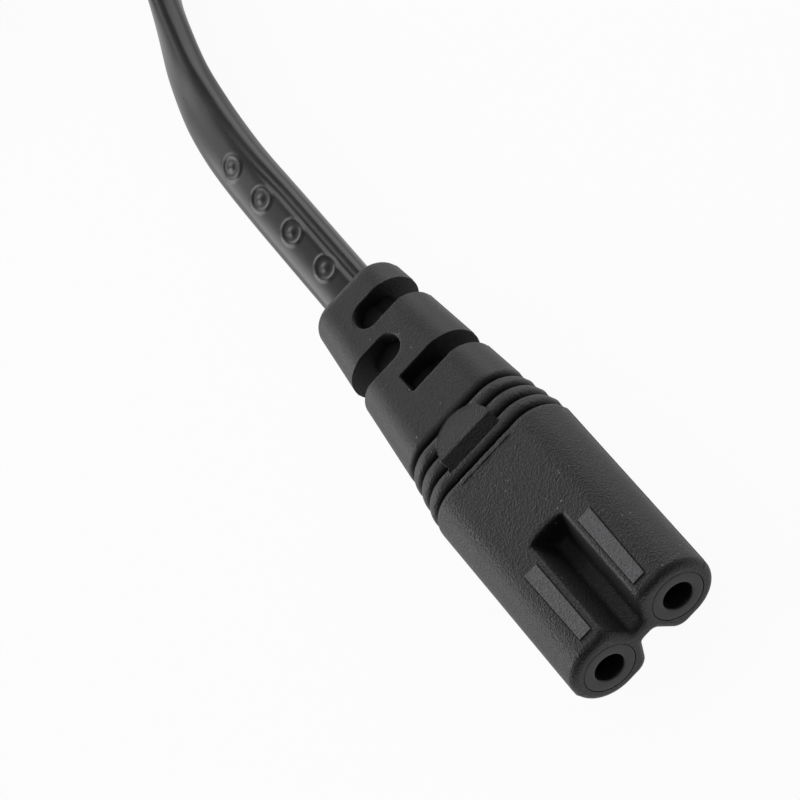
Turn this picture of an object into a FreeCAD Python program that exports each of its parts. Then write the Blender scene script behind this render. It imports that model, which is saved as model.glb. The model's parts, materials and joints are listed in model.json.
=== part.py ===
import FreeCAD
import Part
import Sketcher
import math
import os

# A two-pole figure-eight power connector on a flat twin cord, with the plug at the cord's far end.
# The connector is drawn along Y from its mating face, about its middle plane, and then set on the floor.

sizes = {
    # mating end
    "socket_spacing": 8.6,
    "socket_radius": 1.45,
    "lobe_radius": 3.75,
    "nose_length": 24.0,
    "nose_edge_round": 0.45,
    "groove_length": 12.9,
    "groove_half_mouth": 1.95,
    "groove_half_floor": 0.7,
    "groove_floor_height": 1.0,
    "groove_floor_round": 0.6,
    "groove_mouth_round": 0.45,
    "pad_start": 1.5,
    "pad_length": 9.3,
    "pad_inner_edge": 2.65,
    "pad_front_width": 1.4,
    "pad_rear_width": 1.65,
    "pad_step": 0.12,
    # ribbed collar
    "rib_pitch": 1.9,
    "rib_gap": 0.55,
    "rib_round": 0.2,
    "collar_half_width": 6.5,
    "collar_radius": 3.2,
    # thumb mark over the ribs
    "thumb_half_width": 3.2,
    "thumb_front_setback": 0.65,
    "thumb_foot_setback": 1.3,
    "thumb_crest_setback": 3.2,
    "thumb_foot_height": 3.4,
    "thumb_crest_height": 3.95,
    "thumb_rear_height": 3.8,
    "thumb_lap": 0.3,
    "thumb_strip_length": 0.7,
    "thumb_strip_step": 0.1,
    # handle with its bend relief
    "connector_length": 52.2,
    "handle_front_half_width": 7.0,
    "handle_front_radius": 3.65,
    "handle_rear_half_width": 4.95,
    "handle_rear_radius": 2.95,
    "handle_rear_round": 1.1,
    "slot_reach": 1.1,
    "front_slot_setback": 16.4,
    "front_slot_width": 2.4,
    "middle_slot_setback": 11.7,
    "rear_slot_setback": 6.7,
    "slot_width": 3.0,
    # contact carrier behind the mating face
    "carrier_radius": 2.6,
    "carrier_length": 17.5,
    "carrier_bridge_start": 13.7,
    "carrier_bridge_height": 4.4,
    "guide_length": 3.0,
    # contacts, conductors and their insulation
    "contact_radius": 1.75,
    "contact_bore": 1.25,
    "contact_end": 14.0,
    "contact_bore_end": 13.0,
    "contact_slit_width": 0.4,
    "contact_slit_length": 7.0,
    "crimp_radius": 1.45,
    "crimp_start": 15.0,
    "crimp_end": 20.0,
    "conductor_radius": 0.55,
    "core_radius": 1.15,
    "core_spacing": 2.6,
    "core_lead": 3.0,
    # flat cord
    "cord_width": 6.0,
    "cord_thickness": 3.4,
    "jacket_start": 33.0,
    # hank of the cord and its two ties
    "hank_centre_across": 2.0,
    "hank_centre_along": 163.0,
    "hank_turn_radius": 24.0,
    "hank_half_straight": 36.0,
    "hank_pitch": 3.65,
    "tie_thickness": 0.6,
    "tie_width": 4.0,
    # plug at the far end
    "plug_rear_across": 14.0,
    "plug_rear_along": 152.0,
    "plug_turn": 15.0,
    "plug_half_width": 17.65,
    "plug_radius": 6.85,
    "plug_head_length": 12.0,
    "plug_grip_length": 18.0,
    "plug_grip_half_width": 9.0,
    "plug_grip_radius": 5.0,
    "plug_relief_length": 12.0,
    "plug_relief_half_width": 4.4,
    "plug_relief_radius": 2.8,
    "plug_edge_round": 1.5,
    "pin_spacing": 18.6,
    "pin_radius": 2.0,
    "pin_stem_radius": 1.3,
    "pin_length": 19.0,
    "pin_sleeve_length": 10.0,
    "pin_sleeve_radius": 1.7,
    "pin_tail_radius": 2.4,
    "pin_tail_length": 9.0,
    "pin_tail_bore": 4.0,
    "plug_jacket_length": 10.0,
    "plug_core_lead": 4.0,
}

# lengths that follow from the sizes
ribs = 3
nose_half_width = "( socket_spacing / 2 + lobe_radius )"
handle_start = f"( nose_length + {ribs} * rib_pitch + rib_gap )"
thumb_front = "( nose_length + thumb_front_setback )"
thumb_foot = "( nose_length + thumb_foot_setback )"
thumb_crest = "( nose_length + thumb_crest_setback )"
hank_height = "2 * cord_width"
hank_outer = "hank_turn_radius + cord_thickness / 2"
hank_inner = "hank_turn_radius - 2 * hank_pitch - cord_thickness / 2"
plug_height = f"tie_thickness + {hank_height} + plug_radius"
plug_length = "( plug_relief_length + plug_grip_length + plug_head_length )"

overrun = 1.0  # how far a cut reaches past the surface it opens
same_place = 0.01  # two edges closer than this lie at one place
arc_share = 0.45  # part of the shorter run that a cord's bend takes up
plug_approach = 8.3  # straight cord behind the plug

doc = FreeCAD.newDocument("figure_eight_lead")
sheet = doc.addObject("Spreadsheet::Sheet", "sizes")
for row, (name, value) in enumerate(sizes.items(), start=1):
    sheet.set(f"A{row}", name)
    sheet.set(f"B{row}", str(value))
    sheet.setAlias(f"B{row}", name)
doc.recompute()


def bound(text):
    # the sheet's names in a formula, written out in full
    words = []
    for word in text.replace("(", " ( ").replace(")", " ) ").split():
        words.append(f"sizes.{word}" if word in sizes else word)
    return " ".join(words)


def value_of(text):
    return float(sheet.evalExpression(bound(text)))


def bind(item, **formulas):
    for name, text in formulas.items():
        item.setExpression(name.replace("__", "."), bound(text))
    return item


def place_on_floor(item):
    bind(item, Placement__Base__y="-1 * connector_length / 2", Placement__Base__z="lobe_radius")
    return item


def rod(name, radius, start, length, across="0"):
    # a round bar along Y
    item = doc.addObject("Part::Cylinder", name)
    item.Placement.Rotation = FreeCAD.Rotation(FreeCAD.Vector(1, 0, 0), -90)
    bind(item, Radius=radius, Height=length, Placement__Base__x=across, Placement__Base__y=start)
    return item


def block(name, width, depth, height, across, along, up):
    item = doc.addObject("Part::Box", name)
    bind(item, Length=width, Width=depth, Height=height)
    bind(item, Placement__Base__x=across, Placement__Base__y=along, Placement__Base__z=up)
    return item


def ball(name, radius, across, along):
    item = doc.addObject("Part::Sphere", name)
    bind(item, Radius=radius, Placement__Base__x=across, Placement__Base__y=along)
    return item


def joined(name, items):
    item = doc.addObject("Part::MultiFuse", name)
    item.Shapes = items
    item.Refine = True
    return item


def cut_from(name, base, tool):
    item = doc.addObject("Part::Cut", name)
    item.Base = base
    item.Tool = tool
    item.Refine = True
    return item


def new_sketch(body, name, role, offset):
    sketch = body.newObject("Sketcher::SketchObject", name)
    plane = [item for item in body.Origin.OriginFeatures if item.Role == role][0]
    sketch.AttachmentSupport = [(plane, "")]
    sketch.MapMode = "FlatFace"
    bind(sketch, AttachmentOffset__Base__z=offset)
    return sketch


def stadium_sketch(body, name, along, half_width, radius):
    # an upright outline with full round sides, at a place along Y
    sketch = new_sketch(body, name, "XZ_Plane", f"-1 * ( {along} )")
    end = value_of(radius)
    middle = value_of(half_width) - end
    quarter = math.pi / 2
    right = Part.Circle(FreeCAD.Vector(middle, 0, 0), FreeCAD.Vector(0, 0, 1), end)
    left = Part.Circle(FreeCAD.Vector(-middle, 0, 0), FreeCAD.Vector(0, 0, 1), end)
    sketch.addGeometry(Part.ArcOfCircle(right, -quarter, quarter))
    sketch.addGeometry(Part.ArcOfCircle(left, quarter, 3 * quarter))
    sketch.addGeometry(Part.LineSegment(FreeCAD.Vector(middle, end, 0), FreeCAD.Vector(-middle, end, 0)))
    sketch.addGeometry(Part.LineSegment(FreeCAD.Vector(-middle, -end, 0), FreeCAD.Vector(middle, -end, 0)))
    sketch.addConstraint(Sketcher.Constraint("Tangent", 0, 2, 2, 1))
    sketch.addConstraint(Sketcher.Constraint("Tangent", 2, 2, 1, 1))
    sketch.addConstraint(Sketcher.Constraint("Tangent", 1, 2, 3, 1))
    sketch.addConstraint(Sketcher.Constraint("Tangent", 3, 2, 0, 1))
    sketch.addConstraint(Sketcher.Constraint("Symmetric", 0, 3, 1, 3, -1, 1))
    sketch.addConstraint(Sketcher.Constraint("PointOnObject", 0, 3, -1))
    sketch.addConstraint(Sketcher.Constraint("Radius", 0, end))
    sketch.addConstraint(Sketcher.Constraint("DistanceX", 1, 3, 0, 3, 2 * middle))
    sketch.renameConstraint(sketch.ConstraintCount - 2, "end_radius")
    sketch.renameConstraint(sketch.ConstraintCount - 1, "centres")
    bind(sketch, Constraints__end_radius=radius, Constraints__centres=f"2 * ( {half_width} - {radius} )")
    return sketch


def corner_sketch(body, name, role, offset, corners):
    # a straight-sided outline, each corner placed by two formulas
    sketch = new_sketch(body, name, role, offset)
    points = [FreeCAD.Vector(value_of(across), value_of(up), 0) for across, up in corners]
    for number, point in enumerate(points):
        sketch.addGeometry(Part.LineSegment(point, points[(number + 1) % len(points)]))
    for number in range(len(points)):
        sketch.addConstraint(Sketcher.Constraint("Coincident", number, 2, (number + 1) % len(points), 1))
    for number, (across, up) in enumerate(corners):
        for kind, text in (("DistanceX", across), ("DistanceY", up)):
            label = f"{kind}_{number}"
            sketch.addConstraint(Sketcher.Constraint(kind, -1, 1, number, 1, value_of(text)))
            sketch.renameConstraint(sketch.ConstraintCount - 1, label)
            sketch.setExpression(f"Constraints.{label}", bound(text))
    return sketch


def circle_sketch(body, name, role, offset, across, up, radius):
    sketch = new_sketch(body, name, role, offset)
    centre = FreeCAD.Vector(value_of(across), value_of(up), 0)
    sketch.addGeometry(Part.Circle(centre, FreeCAD.Vector(0, 0, 1), value_of(radius)))
    for kind, text in (("DistanceX", across), ("DistanceY", up)):
        sketch.addConstraint(Sketcher.Constraint(kind, -1, 1, 0, 3, value_of(text)))
        sketch.renameConstraint(sketch.ConstraintCount - 1, kind)
        sketch.setExpression(f"Constraints.{kind}", bound(text))
    sketch.addConstraint(Sketcher.Constraint("Radius", 0, value_of(radius)))
    sketch.renameConstraint(sketch.ConstraintCount - 1, "round")
    sketch.setExpression("Constraints.round", bound(radius))
    return sketch


def extrude(body, kind, sketch, length, reverse=False, both_ways=False):
    feature = body.newObject(f"PartDesign::{kind}", f"{sketch.Name}_{kind.lower()}")
    feature.Profile = sketch
    feature.Reversed = reverse
    if both_ways:
        feature.SideType = "Symmetric"
    bind(feature, Length=length)
    return feature


def loft(body, name, first, second):
    feature = body.newObject("PartDesign::AdditiveLoft", name)
    feature.Profile = first
    feature.Sections = [second]
    feature.Ruled = True
    return feature


def round_edges(body, name, radius, wanted):
    # rounds the edges of the body so far for which wanted(edge) holds
    doc.recompute()
    base = body.Tip
    numbers = [f"Edge{number}" for number, edge in enumerate(base.Shape.Edges, start=1) if wanted(edge)]
    feature = body.newObject("PartDesign::Fillet", name)
    feature.Base = (base, numbers)
    bind(feature, Radius=radius)
    return feature


def runs_along(edge, place):
    # an edge along Y at this distance to either side of the middle and above or below it
    middle = edge.CenterOfMass
    apart = FreeCAD.Vector(abs(middle.x) - place.x, 0, abs(middle.z) - place.z).Length
    return apart < same_place and edge.BoundBox.YLength > same_place


def lies_at(edge, along):
    box = edge.BoundBox
    return abs(box.YMin - along) < same_place and abs(box.YMax - along) < same_place


def arch_sketch(body, name, offset, half_width, front, shoulder):
    # a tongue outline on the floor plane: square at the front, half round at the rear
    sketch = new_sketch(body, name, "XY_Plane", offset)
    across, low, high = value_of(half_width), value_of(front), value_of(shoulder)
    corners = [FreeCAD.Vector(-across, low, 0), FreeCAD.Vector(across, low, 0)]
    tops = [FreeCAD.Vector(across, high, 0), FreeCAD.Vector(-across, high, 0)]
    circle = Part.Circle(FreeCAD.Vector(0, high, 0), FreeCAD.Vector(0, 0, 1), across)
    sketch.addGeometry(Part.LineSegment(corners[0], corners[1]))
    sketch.addGeometry(Part.LineSegment(corners[1], tops[0]))
    sketch.addGeometry(Part.ArcOfCircle(circle, 0, math.pi))
    sketch.addGeometry(Part.LineSegment(tops[1], corners[0]))
    sketch.addConstraint(Sketcher.Constraint("Coincident", 0, 2, 1, 1))
    sketch.addConstraint(Sketcher.Constraint("Tangent", 1, 2, 2, 1))
    sketch.addConstraint(Sketcher.Constraint("Tangent", 2, 2, 3, 1))
    sketch.addConstraint(Sketcher.Constraint("Coincident", 3, 2, 0, 1))
    sketch.addConstraint(Sketcher.Constraint("Vertical", 1))
    sketch.addConstraint(Sketcher.Constraint("Symmetric", 0, 1, 0, 2, -2))
    for label, parts, text in (("wide", ("DistanceX", 0, 1, 0, 2), f"2 * {half_width}"),
                               ("front", ("DistanceY", -1, 1, 0, 1), front),
                               ("shoulder", ("DistanceY", -1, 1, 2, 3), shoulder)):
        sketch.addConstraint(Sketcher.Constraint(*parts, value_of(text)))
        sketch.renameConstraint(sketch.ConstraintCount - 1, label)
        sketch.setExpression(f"Constraints.{label}", bound(text))
    return sketch


def add_nose(body):
    outline = stadium_sketch(body, "nose_outline", "0", nose_half_width, "lobe_radius")
    extrude(body, "Pad", outline, "nose_length", reverse=True)
    for name, side in (("top_groove", "1"), ("bottom_groove", "-1")):
        mouth = f"{side} * lobe_radius"
        floor = f"{side} * groove_floor_height"
        corners = [("-1 * groove_half_mouth", mouth), ("groove_half_mouth", mouth),
                   ("groove_half_floor", floor), ("-1 * groove_half_floor", floor)]
        extrude(body, "Pocket", corner_sketch(body, name, "XZ_Plane", "0", corners), "groove_length")
    for name, across, up in (("groove_floor_round", "groove_half_floor", "groove_floor_height"),
                             ("groove_mouth_round", "groove_half_mouth", "lobe_radius")):
        place = FreeCAD.Vector(value_of(across), 0, value_of(up))
        round_edges(body, f"{name}s", name, lambda edge: runs_along(edge, place))
    round_edges(body, "face_edge_round", "nose_edge_round", lambda edge: lies_at(edge, 0))


def add_collar(body):
    # a narrower neck carrying three rounded ribs that step down from nose to handle
    neck = stadium_sketch(body, "neck", "nose_length", "collar_half_width", "collar_radius")
    extrude(body, "Pad", neck, f"{ribs} * rib_pitch + rib_gap", reverse=True)
    ends = []
    for number in range(ribs):
        share = (number + 1) / (ribs + 1)
        start = f"nose_length + rib_gap + {number} * rib_pitch"
        half_width = f"( {nose_half_width} * {1 - share} + handle_front_half_width * {share} )"
        radius = f"( lobe_radius * {1 - share} + handle_front_radius * {share} )"
        rib = stadium_sketch(body, f"rib_{number + 1}", start, half_width, radius)
        extrude(body, "Pad", rib, "rib_pitch - rib_gap", reverse=True)
        ends += [value_of(start), value_of(f"{start} + rib_pitch - rib_gap")]
    neck_middle = value_of("collar_half_width - collar_radius")
    neck_radius = value_of("collar_radius")

    def on_rib(edge):
        middle = edge.valueAt((edge.FirstParameter + edge.LastParameter) / 2)
        beyond = math.hypot(max(abs(middle.x) - neck_middle, 0), middle.z) > neck_radius + same_place
        return beyond and any(lies_at(edge, end) for end in ends)

    round_edges(body, "rib_rounds", "rib_round", on_rib)


def add_handle(body):
    front = stadium_sketch(body, "handle_front", handle_start,
                           "handle_front_half_width", "handle_front_radius")
    rear = stadium_sketch(body, "handle_rear", "connector_length",
                          "handle_rear_half_width", "handle_rear_radius")
    loft(body, "handle", front, rear)
    length = value_of("connector_length")
    round_edges(body, "handle_rear_edge", "handle_rear_round", lambda edge: lies_at(edge, length))


def add_thumb_mark(body):
    # a tongue across the ribs, with a long rear slope and a short front slope
    rear = f"( {handle_start} + thumb_lap )"
    shoulder = f"{rear} - thumb_half_width"
    tongue = arch_sketch(body, "thumb_tongue", "0", "thumb_half_width", thumb_front, shoulder)
    extrude(body, "Pad", tongue, "thumb_crest_height")
    above = f"thumb_crest_height + {overrun}"
    slopes = [(thumb_front, "thumb_foot_height"), (thumb_foot, "thumb_foot_height"),
              (thumb_crest, "thumb_crest_height"), (rear, "thumb_rear_height"),
              (rear, above), (thumb_front, above)]
    profile = corner_sketch(body, "thumb_slopes", "YZ_Plane", "0", slopes)
    extrude(body, "Pocket", profile, "2 * thumb_half_width", both_ways=True)
    strip = [("-1 * thumb_half_width", "nose_length - thumb_strip_length"),
             ("thumb_half_width", "nose_length - thumb_strip_length"),
             ("thumb_half_width", "nose_length"), ("-1 * thumb_half_width", "nose_length")]
    raised = corner_sketch(body, "thumb_strip", "XY_Plane", "lobe_radius", strip)
    extrude(body, "Pad", raised, "thumb_strip_step")


def add_pads(body):
    for name, side in (("left_pad", "-1"), ("right_pad", "1")):
        inner = f"{side} * pad_inner_edge"
        front_edge = f"{side} * ( pad_inner_edge + pad_front_width )"
        rear_edge = f"{side} * ( pad_inner_edge + pad_rear_width )"
        corners = [(inner, "pad_start"), (front_edge, "pad_start"),
                   (rear_edge, "pad_start + pad_length"), (inner, "pad_start + pad_length")]
        outline = corner_sketch(body, name, "XY_Plane", "lobe_radius", corners)
        extrude(body, "Pad", outline, "pad_step")


def add_slots(body):
    # staggered openings from alternate sides, each reaching just past the middle
    through = "4 * handle_front_radius"
    outside = f"( handle_front_half_width + {overrun} )"
    for name, side, width, end_round in (
            ("front_slot", "1", "front_slot_width", "0"),
            ("middle_slot", "-1", "slot_width", "slot_width / 2"),
            ("rear_slot", "1", "slot_width", "slot_width / 2")):
        start = f"( connector_length - {name}_setback )"
        inner = f"{side} * ( {end_round} - slot_reach )"
        corners = [(inner, start), (f"{side} * {outside}", start),
                   (f"{side} * {outside}", f"{start} + {width}"), (inner, f"{start} + {width}")]
        opening = corner_sketch(body, name, "XY_Plane", "0", corners)
        extrude(body, "Pocket", opening, through, both_ways=True)
        if end_round != "0":
            centre = f"{start} + {width} / 2"
            bend = circle_sketch(body, f"{name}_end", "XY_Plane", "0", inner, centre, end_round)
            extrude(body, "Pocket", bend, through, both_ways=True)


def route_wire(points):
    # straight runs joined by tangent arcs as large as the runs allow
    edges = []
    start = points[0]
    for before, corner, after in zip(points, points[1:], points[2:]):
        back = (before - corner).normalize()
        ahead = (after - corner).normalize()
        trim = arc_share * min((before - corner).Length, (after - corner).Length)
        half_angle = back.getAngle(ahead) / 2
        radius = trim * math.tan(half_angle)
        inward = (back + ahead).normalize()
        middle = corner + inward * (trim / math.cos(half_angle) - radius)
        edges.append(Part.LineSegment(start, corner + back * trim).toShape())
        edges.append(Part.Arc(corner + back * trim, middle, corner + ahead * trim).toShape())
        start = corner + ahead * trim
    edges.append(Part.LineSegment(start, points[-1]).toShape())
    return Part.Wire(edges)


def round_section(centre, radius):
    circle = Part.Circle(centre, FreeCAD.Vector(0, 1, 0), radius)
    return Part.Face(Part.Wire([circle.toShape()]))


def flat_section(centre, along):
    # the cord's section, flat with round sides, square to its direction
    half = value_of("cord_thickness / 2")
    middle = value_of("cord_width / 2") - half
    side = along.cross(FreeCAD.Vector(0, 0, 1)).normalize()
    up = side.cross(along).normalize()
    right = centre + side * middle
    left = centre - side * middle
    edges = [Part.LineSegment(left + up * half, right + up * half).toShape(),
             Part.Arc(right + up * half, right + side * half, right - up * half).toShape(),
             Part.LineSegment(right - up * half, left - up * half).toShape(),
             Part.Arc(left - up * half, left - side * half, left + up * half).toShape()]
    return Part.Face(Part.Wire(edges))


def shaped(name, shape):
    item = doc.addObject("Part::Feature", name)
    item.Shape = shape
    return item


def core_route(side, first_spread, last_spread, start, end, lead):
    # a core's way from one spacing to another, with a straight lead at both ends
    first = side * value_of(first_spread) / 2
    last = side * value_of(last_spread) / 2
    places = [(first, value_of(start)), (first, value_of(f"{start} + {lead}")),
              (last, value_of(f"{end} - {lead}")), (last, value_of(end))]
    return [FreeCAD.Vector(across, along, 0) for across, along in places]


def rod_along(name, points, radius):
    return shaped(name, route_wire(points).makePipe(round_section(points[0], value_of(radius))))


def insulated_core(name, core_points, conductor_points, place):
    # a stranded conductor and the insulation around it; the whole core's form goes back for its seat
    core_form = rod_along(f"{name}_core_form", core_points, "core_radius")
    strand_form = rod_along(f"{name}_strand_form", conductor_points, "conductor_radius")
    nodes.append(place(cut_from(f"{name}_core", core_form, strand_form)))
    nodes.append(place(shaped(f"{name}_conductor", strand_form.Shape)))
    return core_form


def place_in_plug(item):
    bind(item, Placement__Base__x="plug_rear_across", Placement__Base__y="plug_rear_along")
    bind(item, Placement__Base__z=plug_height, Placement__Rotation__Angle="plug_turn")
    return item


def add_contact(name, across):
    # a split sleeve that grips the inlet's pin, with a crimp barrel behind it
    form = joined(f"{name}_contact_form", [
        rod(f"{name}_sleeve_form", "contact_radius", "guide_length", "contact_end - guide_length", across),
        rod(f"{name}_crimp_form", "crimp_radius", "contact_end", "crimp_end - contact_end", across)])
    slit_side = f"{across} - contact_slit_width / 2"
    hollow = joined(f"{name}_contact_hollow", [
        rod(f"{name}_pin_bore", "contact_bore", "guide_length", "contact_bore_end - guide_length", across),
        rod(f"{name}_strand_bore", "conductor_radius", "crimp_start", "crimp_end - crimp_start", across),
        block(f"{name}_slit", "contact_slit_width", "contact_slit_length", "2 * contact_radius",
              slit_side, "guide_length", "-1 * contact_radius")])
    nodes.append(place_on_floor(cut_from(f"{name}_contact", form, hollow)))


def add_connector():
    outer = doc.addObject("PartDesign::Body", "connector_form")
    add_nose(outer)
    add_collar(outer)
    add_handle(outer)
    add_thumb_mark(outer)
    add_pads(outer)
    add_slots(outer)

    snouts = []
    passages = []
    seats = []
    for name, side in (("left", -1), ("right", 1)):
        across = f"{side} * socket_spacing / 2"
        snouts.append(rod(f"{name}_snout", "carrier_radius", "0", "carrier_length", across))
        passages += [
            rod(f"{name}_guide", "socket_radius", "0", "guide_length", across),
            rod(f"{name}_seat", "contact_radius", "guide_length", "contact_end - guide_length", across),
            rod(f"{name}_passage", "crimp_radius", "contact_end", "carrier_length - contact_end", across)]
        seats.append(rod(f"{name}_crimp_seat", "crimp_radius", "carrier_length",
                         "crimp_end - carrier_length", across))
        add_contact(name, across)
        core = core_route(side, "socket_spacing", "core_spacing", "crimp_end", "jacket_start", "core_lead")
        strand = [FreeCAD.Vector(core[0].x, value_of("crimp_start"), 0)] + core[1:]
        seats.append(insulated_core(name, core, strand, place_on_floor))

    bridge = block("carrier_bridge", "socket_spacing", "carrier_length - carrier_bridge_start",
                   "carrier_bridge_height", "-1 * socket_spacing / 2", "carrier_bridge_start",
                   "-1 * carrier_bridge_height / 2")
    carrier_form = joined("carrier_form", snouts + [bridge])
    carrier = cut_from("contact_carrier", carrier_form, joined("carrier_passages", passages))
    nodes.append(place_on_floor(carrier))

    jacket_seat = doc.addObject("PartDesign::Body", "jacket_seat")
    outline = stadium_sketch(jacket_seat, "jacket_outline", "jacket_start",
                             "cord_width / 2", "cord_thickness / 2")
    extrude(jacket_seat, "Pad", outline, f"connector_length - jacket_start + {overrun}", reverse=True)
    cavity = joined("connector_cavity", [carrier_form, jacket_seat] + seats)
    nodes.append(place_on_floor(cut_from("connector_overmould", outer, cavity)))


def racetrack(name, radius, height, up):
    # an upright oval slab along Y at the hank's place
    ends = []
    for number, side in enumerate((-1, 1), start=1):
        end = doc.addObject("Part::Cylinder", f"{name}_end_{number}")
        bind(end, Radius=radius, Height=height, Placement__Base__x="hank_centre_across")
        bind(end, Placement__Base__y=f"hank_centre_along + {side} * hank_half_straight")
        bind(end, Placement__Base__z=up)
        ends.append(end)
    middle = block(f"{name}_middle", f"2 * ( {radius} )", "2 * hank_half_straight", height,
                   f"hank_centre_across - ( {radius} )", "hank_centre_along - hank_half_straight", up)
    return joined(name, ends + [middle])


def add_hank():
    # three turns side by side in two layers, tied once on each side
    outside = racetrack("hank_outside", hank_outer, hank_height, "tie_thickness")
    inside = racetrack("hank_inside", hank_inner, hank_height, "tie_thickness")
    nodes.append(cut_from("cord_hank", outside, inside))
    bundle = f"( {hank_outer} - ( {hank_inner} ) )"
    for name, edge in (("left_tie", f"hank_centre_across - ( {hank_outer} )"),
                       ("right_tie", f"hank_centre_across + {hank_inner}")):
        front = "hank_centre_along - tie_width / 2"
        band = block(f"{name}_band", f"{bundle} + 2 * tie_thickness", "tie_width",
                     f"{hank_height} + 2 * tie_thickness", f"{edge} - tie_thickness", front, "0")
        gap = block(f"{name}_gap", bundle, "tie_width", hank_height, edge, front, "tie_thickness")
        nodes.append(cut_from(name, band, gap))


def add_cord(name, points):
    path = route_wire(points)
    section = flat_section(points[0], (points[1] - points[0]).normalize())
    shape = path.makePipe(section)
    expected = section.Area * path.Length
    radii = [round(edge.Curve.Radius, 1) for edge in path.Edges if isinstance(edge.Curve, Part.Circle)]
    print(name, "length", round(path.Length, 1), "radii", radii,
          "volume over section times length", round(shape.Volume / expected, 4))
    nodes.append(shaped(name, shape))


def add_lead():
    start = FreeCAD.Vector(0, value_of("jacket_start - connector_length / 2"), value_of("lobe_radius"))
    on_floor = [(0.0, 33.3, 3.75), (0.0, 60.0, 3.1), (6.2, 78.0, 2.8), (11.0, 91.5, 2.9),
                (16.8, 104.3, 3.3), (23.0, 115.4, 3.6)]
    add_cord("cord_lead", [start] + [FreeCAD.Vector(*place) for place in on_floor])


def add_tail():
    # off the top of the hank, round its near end and into the plug that lies on it, drawn from the plug
    over_hank = [(-22.0, 131.0, 9.6), (-22.0, 120.6, 9.6), (-15.6, 109.4, 9.8), (-4.4, 103.0, 10.3),
                 (8.2, 103.0, 11.0), (18.5, 109.0, 12.3), (23.6, 119.5, 14.2), (22.9, 131.5, 16.7)]
    turn = math.radians(value_of("plug_turn"))
    ahead = FreeCAD.Vector(-math.sin(turn), math.cos(turn), 0)
    rear = FreeCAD.Vector(value_of("plug_rear_across"), value_of("plug_rear_along"), value_of(plug_height))
    into_plug = [rear - ahead * plug_approach, rear + ahead * value_of("plug_jacket_length")]
    route = [FreeCAD.Vector(*place) for place in over_hank] + into_plug
    add_cord("cord_tail", route[::-1])


def add_plug():
    outer = doc.addObject("PartDesign::Body", "plug_form")
    shoulder = "plug_relief_length + plug_grip_length"
    relief = stadium_sketch(outer, "relief_end", "0", "plug_relief_half_width", "plug_relief_radius")
    waist = stadium_sketch(outer, "grip_end", "plug_relief_length", "plug_grip_half_width", "plug_grip_radius")
    head = stadium_sketch(outer, "head_end", shoulder, "plug_half_width", "plug_radius")
    loft(outer, "relief", relief, waist)
    loft(outer, "grip", waist, head)
    face = stadium_sketch(outer, "head_outline", shoulder, "plug_half_width", "plug_radius")
    extrude(outer, "Pad", face, "plug_head_length", reverse=True)
    front = value_of(plug_length)
    round_edges(outer, "plug_face_round", "plug_edge_round", lambda edge: lies_at(edge, front))

    jacket_seat = doc.addObject("PartDesign::Body", "plug_jacket_seat")
    outline = stadium_sketch(jacket_seat, "plug_jacket_outline", f"-1 * {overrun}",
                             "cord_width / 2", "cord_thickness / 2")
    extrude(jacket_seat, "Pad", outline, f"plug_jacket_length + {overrun}", reverse=True)
    seats = [jacket_seat]
    tail_start = f"{plug_length} - pin_tail_length"
    for name, side in (("left", -1), ("right", 1)):
        across = f"{side} * pin_spacing / 2"
        seats.append(rod(f"{name}_pin_seat", "pin_tail_radius", tail_start, "pin_tail_length", across))
        pin_form = joined(f"{name}_pin_form", [
            rod(f"{name}_pin_tail", "pin_tail_radius", tail_start, "pin_tail_length", across),
            rod(f"{name}_pin_stem", "pin_stem_radius", plug_length, "pin_sleeve_length", across),
            rod(f"{name}_pin_tip", "pin_radius", f"{plug_length} + pin_sleeve_length",
                "pin_length - pin_sleeve_length - pin_radius", across),
            ball(f"{name}_pin_nose", "pin_radius", across, f"{plug_length} + pin_length - pin_radius")])
        bore = rod(f"{name}_pin_bore_end", "conductor_radius", tail_start, "pin_tail_bore", across)
        nodes.append(place_in_plug(cut_from(f"plug_{name}_pin", pin_form, bore)))
        sleeve_form = rod(f"{name}_pin_sleeve_form", "pin_sleeve_radius", plug_length,
                          "pin_sleeve_length", across)
        sleeve_hole = rod(f"{name}_pin_sleeve_hole", "pin_stem_radius", plug_length,
                          "pin_sleeve_length", across)
        nodes.append(place_in_plug(cut_from(f"plug_{name}_pin_sleeve", sleeve_form, sleeve_hole)))
        core = core_route(side, "core_spacing", "pin_spacing", "plug_jacket_length", tail_start,
                          "plug_core_lead")
        strand = core[:-1] + [FreeCAD.Vector(core[-1].x, value_of(f"{tail_start} + pin_tail_bore"), 0)]
        seats.append(insulated_core(f"plug_{name}", core, strand, place_in_plug))
    cavity = joined("plug_cavity", seats)
    nodes.append(place_in_plug(cut_from("plug_overmould", outer, cavity)))


def write_parts():
    doc.recompute()
    for item in doc.Objects:
        if "Invalid" in item.State or "Error" in item.State:
            raise RuntimeError(f"{item.Name} failed: {item.State}")
    os.makedirs("parts", exist_ok=True)
    for item in nodes:
        shape = item.Shape
        if shape.isNull() or not shape.isValid() or len(shape.Solids) != 1:
            raise RuntimeError(f"{item.Label} is not one valid solid")
        shape.exportStep(f"parts/{item.Label}.step")


nodes = []
add_connector()
add_hank()
add_lead()
add_tail()
add_plug()
write_parts()
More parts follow.
